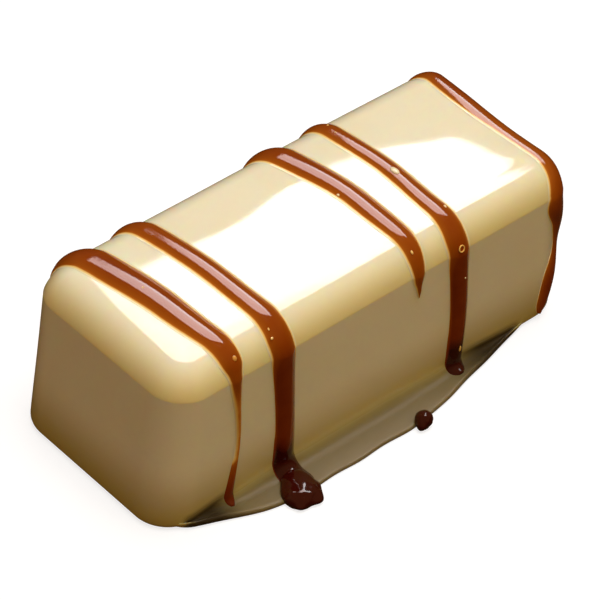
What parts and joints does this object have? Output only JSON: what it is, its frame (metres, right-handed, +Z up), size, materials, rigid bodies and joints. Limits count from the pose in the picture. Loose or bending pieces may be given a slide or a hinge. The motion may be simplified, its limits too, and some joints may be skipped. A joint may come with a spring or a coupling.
{
  "type": "white chocolate bonbon",
  "caption": "Soft-edged block of white chocolate with thick caramel drizzled across the top and down the sides, a set chocolate foot, a small caramel pool and a stray bead.",
  "frame": {"origin": "middle of the block's flat base", "axes": "+X along the block, +Z up, -Y towards the long side with the chocolate foot"},
  "size_m": [0.0388, 0.02, 0.0146],
  "materials": {
    "white_chocolate": "glossy set white chocolate",
    "caramel": "wet glossy caramel, amber where thin"
  },
  "bodies": {
    "root": {"bonbon": "white_chocolate"}
  },
  "joints": []
}
